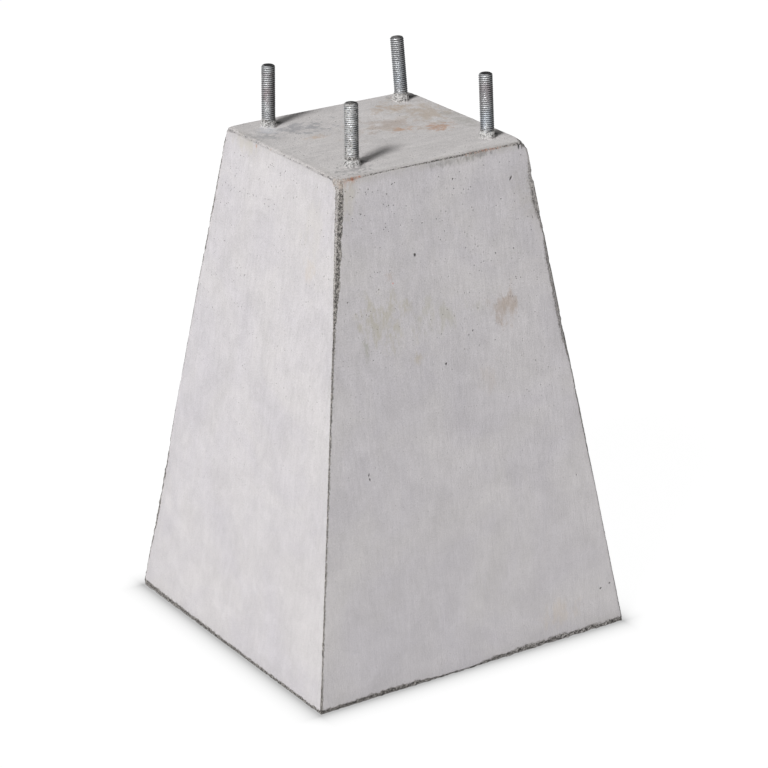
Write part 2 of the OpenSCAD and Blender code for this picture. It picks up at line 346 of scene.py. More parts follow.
# How far each point is pushed towards the core, and what the break there looks like.
# A break is a plane across two faces: with depths a and b under them, and widths w1
# and w2 of the break on them, it keeps a/w2 + b/w1 above 1. A chip is a ball: a point
# inside leaves by its far side. The largest push wins, and with a sign it also says
# how far inside or outside a break a point is.
def wearPush(points, toward):
    push = np.zeros(len(points))
    worn = {label: np.zeros(len(points)) for label in ("wornDarkAndShade", "wornPale", "soilAndShade", "stripSide")}
    worn["breakDepth"] = np.full(len(points), -9.0)
    grain = layeredNoise(points, block["grain"], 3, 41)
    slow = layeredNoise(points, block["slow"], 3, 57)
    rng = np.random.default_rng(chipBalls["seed"])
    for name, arris in arrises.items():
        first, second = arris["faces"]
        along = alongArris(points, first, second)
        rows = dict(zip(arrisRow, np.array(arris["rows"], float).T))
        here = {label: np.interp(along, rows["at"], rows[label]) for label in arrisRow[1:]}
        ragged = 1 + arris["rag"] * (0.8 * slow + 1.1 * grain)
        w1, w2 = here["first"] * ragged, here["second"] * ragged
        a, b = depthUnder(points, first), depthUnder(points, second)
        rateA, rateB = -(toward @ outward[first]), -(toward @ outward[second])
        need = (1 - a / w2 - b / w1) / np.maximum(rateA / w2 + rateB / w1, 0.15)
        push = np.maximum(push, need)
        signed = need
        # chips, seeded along this arris: only points near it are looked at
        count, deepest = arris["chips"]
        bisector = outward[first] + outward[second]
        bisector = bisector / np.linalg.norm(bisector)
        near = np.flatnonzero((a < 8) & (b < 8))
        local, way = points[near], toward[near]
        for t, r, share in zip(rng.uniform(0.01, 0.99, count), rng.uniform(*chipBalls["radius"], count),
                               rng.uniform(0.3, 1.0, count)):
            width = sum(np.interp(t, rows["at"], rows[side]) for side in ("first", "second")) / 2
            centre = arrisPoint(first, second, t) + bisector * (r - share * deepest - 0.45 * width)
            offset = local - centre
            dot = np.sum(offset * way, axis=1)
            inside = r * r - np.sum(offset * offset, axis=1)
            leave = np.where(inside > 0, -dot + np.sqrt(np.maximum(dot * dot + inside, 0)), 0)
            push[near] = np.maximum(push[near], leave)
            signed[near] = np.maximum(signed[near], 1.2 * (r - np.sqrt(r * r - inside)))
        ruling = signed > worn["breakDepth"]
        across = np.clip((a + 0.001) / (a + b * w2 / w1 + 0.001), 0, 1)
        for label, value in (("wornDarkAndShade", here["dark"]), ("wornPale", here["pale"]), ("soilAndShade", here["soilAndShade"]),
                             ("stripSide", across - here["split"]), ("breakDepth", signed)):
            worn[label] = np.where(ruling, value, worn[label])
    # the corner chip is one more plane
    normal = np.array(cornerChip["normal"])
    tip = np.array([block["topW"] / 2, -block["topD"] / 2, block["height"]])
    over = (points - tip) @ normal + cornerChip["depth"] + cornerChip["rough"] * (grain + 0.6 * slow)
    need = over / np.maximum(-(toward @ normal), 0.2)
    push = np.maximum(push, need)
    ruling = need > np.maximum(worn["breakDepth"], -0.5)
    for label, value in (("wornDarkAndShade", cornerChip["dark"]), ("wornPale", cornerChip["pale"]),
                         ("breakDepth", need)):
        worn[label] = np.where(ruling, value, worn[label])
    return np.maximum(push, 0), worn


# How far along an arris a point lies, from 0 to 1: by height, or across the foot or top
def alongArris(points, first, second):
    if first not in ("top", "bottom"):
        return points[:, 2] / block["height"]
    axis, size = (0, "W") if second in ("front", "back") else (1, "D")
    return points[:, axis] / block[("top" if first == "top" else "foot") + size] + 0.5


# A point on the arris of two faces, t of the way along it
def arrisPoint(first, second, t):
    sides = {"left": -1, "right": 1, "front": -1, "back": 1}
    if first in ("top", "bottom"):
        w, d, z = (("topW", "topD", block["height"]) if first == "top" else ("footW", "footD", 0.0))
        if second in ("front", "back"):
            return np.array([(t - 0.5) * block[w], sides[second] * block[d] / 2, z])
        return np.array([sides[second] * block[w] / 2, (t - 0.5) * block[d], z])
    z = t * block["height"]
    sideX = sides[first] if first in ("left", "right") else sides[second]
    sideY = sides[first] if first in ("front", "back") else sides[second]
    return np.array([sideX * (block["footW"] / 2 - slopeX * z), sideY * (block["footD"] / 2 - slopeY * z), z])


def buildBlock():
    points, tris = sharpTaper()
    for step in range(block["steps"]):
        points, tris = refine(points, tris, wantedLength)
    print("block mesh:", len(points), "points,", len(tris), "triangles")

    # towards the core: from each point to the same point held inside a smaller taper
    reachX = block["footW"] / 2 - slopeX * points[:, 2] - block["core"]
    reachY = block["footD"] / 2 - slopeY * points[:, 2] - block["core"]
    inner = np.stack([np.clip(points[:, 0], -reachX, reachX), np.clip(points[:, 1], -reachY, reachY),
                      np.clip(points[:, 2], block["core"], block["height"] - block["core"])], 1)
    toward = (inner - points) / np.linalg.norm(inner - points, axis=1)[:, None]

    onTop = points[:, 2] > block["height"] - 0.01
    underneath = points[:, 2] < 0.01
    push, worn = wearPush(points, toward)

    # slow waves in the faces, and sand-sized roughness where they are broken
    depth, size = block["wave"]
    wave = depth * (0.5 + 0.5 * layeredNoise(points, size, 2, 71))
    wave = np.where(underneath, 0.1 * wave, wave)
    broken = smoothStep(0.05, 0.4, push)
    roughDepth, roughSize, sunk = block["rough"]
    rough = broken * (roughDepth * layeredNoise(points, roughSize, 2, 83) + sunk)
    push = push + np.where(onTop, 0.35 * wave, wave) * (1 - broken) + np.maximum(rough, -0.1)

    # blow holes: an oval bowl, depth times the root of 1 less the square of the way to its rim
    hole = np.zeros(len(points))
    scale = holeShape["scale"]
    for (centre, level, rise), (wide, tall, turn, deep) in holes:
        near = np.flatnonzero(np.abs(points - centre).max(axis=1) < 3)
        offset = points[near] - centre
        c, s = math.cos(math.radians(turn)), math.sin(math.radians(turn))
        u, v = offset @ level / scale, offset @ rise / scale
        ragged = 1 + holeShape["rag"] * latticeNoise(points[near], holeShape["ragSize"], 91)
        out = np.hypot((c * u + s * v) / wide, (c * v - s * u) / tall) * ragged
        bowl = np.sqrt(np.clip(1 - out * out, 0, 1))
        push[near] += deep * scale * bowl
        # the mask of painted shade in each blow hole
        hole[near] = np.maximum(hole[near], smoothStep(0.0, holeShape["edge"], bowl))

    points = points + toward * push[:, None]

    # collars: a steep lump that falls from the lip to the foot of each, and a smear past it
    collar = np.zeros(len(points))
    for name, stud in studs.items():
        dx, dy = points[:, 0] - stud["at"][0], points[:, 1] - stud["at"][1]
        away = np.hypot(dx, dy)
        near = onTop & (away < collars["reach"])
        lump = layeredNoise(points + stud["seed"] * 31, collars["lumpSize"], 3, 100 + stud["seed"])
        knob = layeredNoise(points + stud["seed"] * 17, collars["knobSize"], 2, 140 + stud["seed"])
        foot = collars["lipR"] + (collars["footR"] - collars["lipR"]) * collars[name] + 1.1 * lump
        t = np.clip((away - collars["lipR"] - 0.2 * lump) / np.maximum(foot - collars["lipR"], 0.6), 0, 1)
        flare = collars["height"] * (0.86 + 0.14 * collars[name]) * (1 - t ** 1.5) ** 1.3
        bumps = collars["lump"] * (lump + 0.7 * knob)
        flare = np.where(t < 1, flare + bumps * smoothStep(0, 0.1, t) * smoothStep(1, 0.7, t), 0)
        flare = np.clip(flare, 0, collars["height"] - 0.02)
        smear = 0.5 * np.exp(-np.maximum(away - foot, 0) / collars["smear"])
        smear = smear * smoothStep(-0.5, 0.5, lump + 0.6 * knob)
        flare = flare + 0.25 * smear * (flare < 0.1)
        points[:, 2] = np.where(near, points[:, 2] + flare, points[:, 2])
        shown = np.maximum(smoothStep(0.2, 1.2, flare), smear * smoothStep(15, 11, away))
        collar = np.maximum(collar, near * shown)

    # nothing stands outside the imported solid's own box
    low, high = (np.array(corner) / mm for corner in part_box("block"))
    points = np.clip(points, low, high)
    worn["breakDepth"] = np.clip(worn["breakDepth"], -6, 3)
    return makePiece("concreteBlock", points, tris, {"blowHoleShade": hole, "collar": collar, **worn})


blockPiece = buildBlock()
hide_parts("block")
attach(blockPiece, "root")
print("block made")


# A threaded rod as a grid of turns and rows. A row climbs by one pitch in each turn,
# so that the crest runs along the grid: radius = crest less depth times a flat-topped
# wave of (height/pitch - turn). Rows past an end are held at it, and become a cap.
def studSurface(name, stud):
    foot = block["height"] - thread["embed"]
    root = block["height"] + collars["height"]
    tip = block["height"] + stud["reach"]
    perPitch, around, pitch = thread["rowsPerPitch"], thread["around"], thread["pitch"]
    turn = np.linspace(0, 1, around + 1)
    start, shoulder = root - thread["sleeve"], tip - thread["dome"]
    rows = np.arange(start - pitch, tip + pitch, pitch / perPitch)
    height = np.clip(rows[None, :] + pitch * turn[:, None], start, shoulder)
    turns = np.broadcast_to(turn[:, None], height.shape)
    phase = np.abs((height / pitch - turns + 0.5) % 1 - 0.5)
    coreR = thread["crestR"] - thread["depth"]
    groove = smoothStep(thread["crestFlat"], thread["grooveAt"], phase)
    radius = thread["crestR"] - thread["depth"] * groove
    angle = turns * 2 * np.pi
    skin = np.stack([np.cos(angle) * thread["crestR"], np.sin(angle) * thread["crestR"], height], -1)
    skin = skin.reshape(-1, 3)
    # cement in the thread: thickest on one side and near the collar
    clump = layeredNoise(skin + stud["seed"] * 13, crust["lump"], 3, 200 + stud["seed"]).reshape(height.shape)
    facing = 0.5 + 0.5 * np.cos(angle - math.radians(stud["crustToward"]))
    low = np.exp(-np.clip(height - root, 0, 99) / crust["low"])
    cover = stud["crust"] * (0.25 + 1.1 * facing) + 1.1 * low - crust["least"] + 0.8 * clump
    crustR = coreR + crust["thick"] * np.clip(cover, 0, 1) + 0.12 * clump
    covered = smoothStep(-0.1, 0.15, crustR - radius) * (cover > 0.02)
    groove = groove * (1 - covered)
    radius = np.where(cover > 0.02, np.maximum(radius, crustR), radius)
    radius = radius + crust["skin"] * layeredNoise(skin, 1.1, 2, 300 + stud["seed"]).reshape(height.shape)
    # rounded tip: the radius falls by a square law over the last millimetre or so
    roundOver, drawIn = thread["tipRound"]
    rounding = np.clip(1 - (shoulder - height) / roundOver, 0, 1)
    radius = np.minimum(np.minimum(radius, thread["widest"]), thread["crestR"] - drawIn * rounding ** 2)
    # caps: rings that close on the axis, above in a slightly domed sawn face
    capR = np.linspace(1, 0, thread["capRings"] + 1)[1:]
    topRings = radius[:, -1:] * capR
    dome = tip - thread["dome"] * capR ** 2 * np.ones_like(topRings)
    lowRings = np.tile([0.0, thread["bondR"], thread["bondR"]], (around + 1, 1))
    lowHeights = np.broadcast_to(np.array([foot, foot, start]), lowRings.shape)
    radius = np.hstack([lowRings, radius, topRings])
    height = np.hstack([lowHeights, height, dome])
    none = np.zeros_like(lowRings)
    covered = np.hstack([none, covered, np.broadcast_to(covered[:, -1:] * 0.5, topRings.shape)])
    groove = np.hstack([none, groove, np.zeros_like(topRings)])
    sawn = np.zeros_like(radius)
    sawn[:, -thread["capRings"]:] = 1
    angle = np.broadcast_to(turn[:, None] * 2 * np.pi, radius.shape)
    # painted shade: each stud's zinc made darker on given sides, by the way each side faces
    paintedSideShade = 1.0
    for way, amount, low, high in thread["paintedShades"]:
        paintedSideShade = paintedSideShade - amount * smoothStep(low, high, np.cos(angle - math.radians(way)))
    grid = np.stack([radius * np.cos(angle), radius * np.sin(angle), height], -1)
    # lean: above its upright root, the rod turns about the root's top
    pivot = root + thread["upright"]
    bend = math.radians(stud["lean"]) * smoothStep(-1.5, 1.5, grid[..., 2] - pivot)
    way = math.radians(stud["toward"])
    side = grid[..., 0] * math.cos(way) + grid[..., 1] * math.sin(way)
    above = grid[..., 2] - pivot
    moved = side * np.cos(bend) + above * np.sin(bend) - side
    grid[..., 2] = pivot + above * np.cos(bend) - side * np.sin(bend)
    grid[..., 0] += moved * math.cos(way)
    grid[..., 1] += moved * math.sin(way)
    grid[..., 0] += stud["at"][0]
    grid[..., 1] += stud["at"][1]
    values = {"crust": covered, "sawn": sawn, "groove": groove, "paintedSideShade": paintedSideShade}
    return (grid.reshape(-1, 3), gridQuads(*grid.shape[:2]),
            {label: value.reshape(-1) for label, value in values.items()})


def buildStud(name, stud):
    points, quads, values = studSurface(name, stud)
    first = np.unique(np.round(points, 5), axis=0, return_index=True)[1]     # the points that the weld keeps
    welded, tris = weld(points, quads)
    piece = makePiece(name, welded, tris, {label: value[first] for label, value in values.items()})
    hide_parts(stud["node"])
    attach(piece, "root")
    print(name, len(tris), "triangles")
    return piece


studPieces = [buildStud(name, stud) for name, stud in studs.items()]


# Small helpers for the materials, then the shared effects as node groups

# Gives a socket a link, if the value is another node's socket, or else a plain value
def feed(tree, socket, value):
    if isinstance(value, bpy.types.NodeSocket):
        tree.links.new(value, socket)
    elif socket.type == "RGBA" and len(value) == 3:
        socket.default_value = (*value, 1.0)
    else:
        socket.default_value = value


def addNode(tree, kind, inputs=None, **settings):
    node = tree.nodes.new(kind)
    for key, value in settings.items():
        setattr(node, key, value)
    for key, value in (inputs or {}).items():
        feed(tree, node.inputs[key], value)
    return node


def maths(tree, operation, a, b=0.0, clamp=False):
    return addNode(tree, "ShaderNodeMath", {0: a, 1: b}, operation=operation, use_clamp=clamp).outputs[0]


# out is 0 for a vector and 1 for a length or a dot product
def vectorMaths(tree, operation, a, b=(0.0, 0.0, 0.0), out=0):
    return addNode(tree, "ShaderNodeVectorMath", {0: a, 1: b}, operation=operation).outputs[out]


# All the values multiplied together
def product(tree, first, *others):
    for other in others:
        first = maths(tree, "MULTIPLY", first, other)
    return first


# All the values added together
def total(tree, first, *others):
    for other in others:
        first = maths(tree, "ADD", first, other)
    return first


# A value spread from one range to another, held at its ends
def spread(tree, value, fromLow, fromHigh, toLow=0.0, toHigh=1.0):
    ranges = {"Value": value, "From Min": fromLow, "From Max": fromHigh, "To Min": toLow, "To Max": toHigh}
    return addNode(tree, "ShaderNodeMapRange", ranges, interpolation_type="SMOOTHSTEP").outputs["Result"]


# A value that swings about nought: the value less a half, times a size
def swing(tree, value, size):
    return product(tree, maths(tree, "SUBTRACT", value, 0.5), size)


def mixValue(tree, amount, a, b):
    return addNode(tree, "ShaderNodeMix", {0: amount, 2: a, 3: b}, data_type="FLOAT").outputs[0]


def mixColour(tree, amount, a, b, blend="MIX"):
    colours = {0: amount, 6: a, 7: b}
    return addNode(tree, "ShaderNodeMix", colours, data_type="RGBA", blend_type=blend).outputs[2]


# One value in all three channels
def greyOf(tree, value):
    return addNode(tree, "ShaderNodeCombineColor", {0: value, 1: value, 2: value}).outputs[0]


def noiseOf(tree, vector, scale, detail, roughness, warp=0.0):
    values = {"Vector": vector, "Scale": scale, "Detail": detail, "Roughness": roughness, "Distortion": warp}
    return addNode(tree, "ShaderNodeTexNoise", values).outputs["Fac"]


# Coordinates scaled, after a turn about the vertical: a small scale draws a pattern out that way
def drawnOut(tree, vector, scale, turn=0.0):
    values = {"Vector": vector, "Rotation": (0.0, 0.0, turn), "Scale": scale}
    return addNode(tree, "ShaderNodeMapping", values).outputs[0]


def pointValue(tree, label):
    return addNode(tree, "ShaderNodeAttribute", attribute_name=label).outputs["Fac"]


# A node group with a Vector input, the inputs that are given, and one output
def newGroup(name, inputs, output):
    tree = bpy.data.node_groups.new(name, "ShaderNodeTree")
    tree.interface.new_socket("Vector", in_out="INPUT", socket_type="NodeSocketVector")
    for label, value in inputs.items():
        kind = "NodeSocketVector" if isinstance(value, tuple) else "NodeSocketFloat"
        tree.interface.new_socket(label, in_out="INPUT", socket_type=kind).default_value = value
    tree.interface.new_socket(output, in_out="OUTPUT", socket_type="NodeSocketFloat")
    return tree, tree.nodes.new("NodeGroupInput").outputs, tree.nodes.new("NodeGroupOutput").inputs[0]


def placeGroup(tree, group, **inputs):
    return addNode(tree, "ShaderNodeGroup", inputs, node_tree=group).outputs[0]


# grain: sand-sized light and dark, with a few finer steps in it
def makeGrain():
    tree, source, sink = newGroup("grain", {"Scale": 900.0, "Roughness": 0.7}, "Value")
    noise = noiseOf(tree, source["Vector"], source["Scale"], 4.0, source["Roughness"])
    tree.links.new(spread(tree, noise, 0.25, 0.75), sink)
    return tree


# mottle: soft clouds of light and dark, pulled about by a second noise
def makeMottle():
    tree, source, sink = newGroup("mottle", {"Scale": 20.0, "Warp": 0.6}, "Value")
    noise = noiseOf(tree, source["Vector"], source["Scale"], 5.0, 0.6, source["Warp"])
    tree.links.new(spread(tree, noise, 0.3, 0.7), sink)
    return tree


# pinholes: round dots in a part of the cells of a grid, each of its own size
def makePinholes():
    tree, source, sink = newGroup("pinholes", {"Scale": 300.0, "Share": 0.3, "Width": 0.2}, "Mask")
    cells = addNode(tree, "ShaderNodeTexVoronoi", {"Vector": source["Vector"], "Scale": source["Scale"]},
                    feature="F1")
    split = addNode(tree, "ShaderNodeSeparateColor", {"Color": cells.outputs["Color"]})
    chosen = maths(tree, "LESS_THAN", split.outputs[0], source["Share"])
    width = product(tree, source["Width"], maths(tree, "ADD", split.outputs[1], 0.35))
    inside = maths(tree, "SUBTRACT", 1.0, maths(tree, "DIVIDE", cells.outputs["Distance"], width), clamp=True)
    tree.links.new(product(tree, chosen, spread(tree, inside, 0.0, 0.55)), sink)
    return tree


# softSpot: an oval patch round a centre, 1 inside and 0 past its radii, made ragged
# and patchy by noise that is drawn out upwards
def makeSoftSpot():
    tree, source, sink = newGroup("softSpot", {"Centre": (0.0, 0.0, 0.0), "Radii": (0.01, 0.01, 0.01),
                                               "Ragged": 0.8, "Scale": 120.0}, "Mask")
    away = vectorMaths(tree, "SUBTRACT", source["Vector"], source["Centre"])
    length = vectorMaths(tree, "LENGTH", vectorMaths(tree, "DIVIDE", away, source["Radii"]), out=1)
    noise = noiseOf(tree, drawnOut(tree, source["Vector"], (1.0, 1.0, 0.4)), source["Scale"], 5.0, 0.72)
    push = product(tree, maths(tree, "SUBTRACT", noise, 0.5), source["Ragged"], 3.0)
    tree.links.new(spread(tree, total(tree, maths(tree, "SUBTRACT", 1.0, length), push), 0.0, 1.0), sink)
    return tree


grain, mottle, pinholes, softSpot = makeGrain(), makeMottle(), makePinholes(), makeSoftSpot()

concreteLook = {
    "cool": (0.509, 0.488, 0.508), "warm": (0.523, 0.502, 0.505), "top": (0.643, 0.618, 0.612),
    # the hole colour is painted shade in pinholes and blow holes; the soil colour is partly painted shade
    # below the top rim
    "hole": (0.07, 0.065, 0.06), "soilAndShade": (0.36, 0.34, 0.305),
    # the broken dark colour is partly painted shade in the breaks
    "brokenDarkAndShade": (0.046, 0.042, 0.039), "brokenLight": (0.41, 0.385, 0.36),
    "paleDark": (0.13, 0.12, 0.108), "pale": (0.49, 0.462, 0.44),
    "collarDark": (0.05, 0.047, 0.045), "collar": (0.66, 0.65, 0.64),
    "roughness": 0.88,
    "topFrom": (0.3662, 0.3675),              # heights between which the sides turn into the top
    "contrast": (0.33, 0.46),                 # of the sand grain, on the sides and on the top
    # how fine each pattern is and how far it is warped, and how much it lightens and darkens
    "patterns": {"streak": (420.0, 0.2), "stroke": (210.0, 0.5), "broad": (13.0, 0.9),
                 "patchy": (26.0, 1.2), "cloud": (70.0, 0.6)},
    "swings": {"streak": 0.08, "stroke": 0.11, "broad": 0.03, "patchy": 0.085, "cloud": 0.07},
    "streakDraw": (1.0, 1.0, 0.055),          # drag marks run up the sides
    "strokeDraw": ((0.16, 1.0, 1.0), 0.5),    # trowel strokes run across the top, turned in radians
    "sand": (1100.0, 0.8), "coarse": (560.0, 0.85),
    "tinyHoles": (500.0, 0.34, 0.23), "smallHoles": (130.0, 0.1, 0.07),      # scale, share and width
    "bump": {"Strength": 0.55, "Distance": 0.00025},
}

# Stains, and a few patches of painted shade, in millimetres: centre, radii, colour, strength, how ragged,
# size of the ragged noise
stainsAndShadows = [
    ((50, -91, 257), (14, 6, 15), (0.34, 0.25, 0.18), 0.55, 1.5, 150),
    ((-52, -90, 265), (24, 6, 20), (0.42, 0.39, 0.31), 0.6, 1.7, 170),
    ((-27, -94, 234), (7, 5, 6), (0.42, 0.36, 0.25), 0.45, 1.3, 220),
    ((-5, -92, 262), (34, 6, 15), (0.42, 0.405, 0.34), 0.52, 1.6, 130),
    ((28, -100, 215), (12, 6, 22), (0.46, 0.4, 0.36), 0.3, 1.4, 110),
    ((76, -125, 20), (20, 6, 13), (0.55, 0.47, 0.38), 0.34, 1.5, 150),
    ((-68, -92, 248), (3, 4, 11), (0.25, 0.25, 0.18), 0.55, 1.2, 260),
    ((-44, -84, 296), (5, 4, 5), (0.42, 0.33, 0.26), 0.35, 1.5, 330),
    ((-42, -86, 290), (1.0, 1.8, 0.9), (0.7, 0.22, 0.13), 0.8, 0.2, 500),
    # these two: painted shade in a thin band just below the front rim
    ((8, -75.5, 364.5), (20, 3, 3.6), (0.15, 0.145, 0.135), 0.42, 1.5, 420),
    ((36, -75.5, 365.5), (17, 3, 3.4), (0.12, 0.115, 0.11), 0.6, 1.4, 460),
    ((-72, -76, 352), (14, 5, 16), (0.5, 0.47, 0.4), 0.5, 1.4, 130),
    ((-84, -52, 330), (8, 18, 30), (0.56, 0.53, 0.46), 0.2, 1.5, 110),
    ((-88, -50, 300), (3, 8, 14), (0.5, 0.42, 0.33), 0.3, 1.6, 200),
    ((-79, 45, 362), (5, 22, 8), (0.5, 0.47, 0.41), 0.55, 1.4, 180),
    ((18, 10, 368), (34, 20, 5), (0.46, 0.36, 0.29), 0.5, 1.7, 90),
    ((20, -2, 368), (12, 6, 4), (0.55, 0.33, 0.2), 0.7, 1.6, 200),
    ((46, -12, 368), (12, 11, 4), (0.52, 0.29, 0.17), 0.75, 1.6, 190),
    ((56, 26, 368), (22, 36, 5), (0.5, 0.41, 0.32), 0.6, 1.5, 110),
    ((40, 46, 368), (16, 10, 4), (0.5, 0.36, 0.24), 0.55, 1.6, 180),
    ((70, -5, 368), (9, 30, 4), (0.36, 0.35, 0.31), 0.4, 1.5, 130),
    ((-39, 17, 368), (10, 6, 4), (0.6, 0.44, 0.3), 0.55, 1.3, 240),
    ((-34, 40, 368), (22, 14, 4), (0.23, 0.24, 0.27), 0.5, 2.2, 130),
    ((-66, 40, 368), (12, 16, 4), (0.22, 0.23, 0.25), 0.4, 2.2, 150),
    ((-58, 50, 368), (9, 12, 4), (0.68, 0.69, 0.73), 0.6, 1.2, 150),
    ((66, 66, 368), (14, 12, 4), (0.2, 0.2, 0.2), 0.55, 2.0, 160),
    ((-56, -62, 368), (16, 9, 4), (0.2, 0.2, 0.2), 0.5, 2.4, 210),
    ((84, 40, 320), (5, 22, 20), (0.46, 0.4, 0.33), 0.45, 1.4, 110),
    ((96, -30, 250), (5, 18, 24), (0.46, 0.42, 0.36), 0.4, 1.4, 100),
    ((0, 92, 255), (26, 5, 20), (0.46, 0.42, 0.35), 0.45, 1.4, 100),
    ((-50, 100, 200), (12, 5, 16), (0.42, 0.34, 0.27), 0.4, 1.5, 150),
]

# Painted shadow: black patches in the lee of each collar, where each stud's cast shadow falls
stainsAndShadows += [((x + 8.6, y + 3.6, 368.5), (7.6, 5.0, 5), (0.016, 0.016, 0.016), 0.96, 0.4, 300)
           for x, y in (stud["at"] for stud in studs.values())]

# Rust marks, and black marks of painted shade for notches, that lie over the broken edges as well, in the
# same order
edgeMarks = [
    ((-74, -73, 365.5), (8, 7, 5), (0.48, 0.36, 0.28), 0.3, 1.8, 520),
    # these two: painted shade standing in for a notch hollow at the front right corner
    ((70.9, -75, 365.6), (1.2, 3.0, 3.8), (0.015, 0.014, 0.014), 1.0, 0.4, 500),
    ((74.0, -74, 365.6), (2.2, 2.6, 2.6), (0.07, 0.065, 0.06), 0.75, 2.0, 700),
    ((75.6, -72, 366), (1.6, 2.4, 2.2), (0.62, 0.6, 0.59), 0.7, 1.4, 600),
    ((-68, -75, 367), (8, 2.6, 3), (0.5, 0.28, 0.18), 0.5, 1.7, 620),
    ((-66.8, -75, 367.4), (2.0, 2.2, 1.9), (0.3, 0.085, 0.035), 1.0, 0.5, 500),
    ((-62, -74.6, 368), (4.5, 1.8, 1.6), (0.55, 0.2, 0.1), 0.8, 1.4, 560),
    ((44, -74.6, 367.8), (15, 1.3, 1.5), (0.46, 0.23, 0.15), 0.55, 2.4, 620),
    ((-78, 32, 365), (3, 2, 2), (0.4, 0.2, 0.12), 0.6, 0.8, 500),
    ((-78, 14, 367), (2, 1.5, 1.5), (0.5, 0.25, 0.12), 0.6, 0.8, 500),
]


# A material whose nodes read object coordinates, in metres
def newMaterial(name, roughness, metallic=0.0):
    material = bpy.data.materials.new(name)
    material.use_nodes = True
    tree = material.node_tree
    shader = tree.nodes["Principled BSDF"]
    shader.inputs["Roughness"].default_value = roughness
    shader.inputs["Metallic"].default_value = metallic
    return material, tree, shader, tree.nodes.new("ShaderNodeTexCoord").outputs["Object"]


# Lays the colour of each stain and each painted shade patch over the last, in its own ragged patch
def addStainsAndShade(tree, place, colour, patches):
    for centre, radii, tint, strength, ragged, size in patches:
        mask = placeGroup(tree, softSpot, Vector=place, Centre=tuple(c * mm for c in centre),
                          Radii=tuple(r * mm for r in radii), Ragged=ragged, Scale=float(size))
        colour = mixColour(tree, product(tree, mask, strength), colour, tint)
    return colour


# Gives the shader its normal from a height
def addBump(tree, shader, height, settings):
    bump = addNode(tree, "ShaderNodeBump", {"Height": height, **settings})
    tree.links.new(bump.outputs["Normal"], shader.inputs["Normal"])


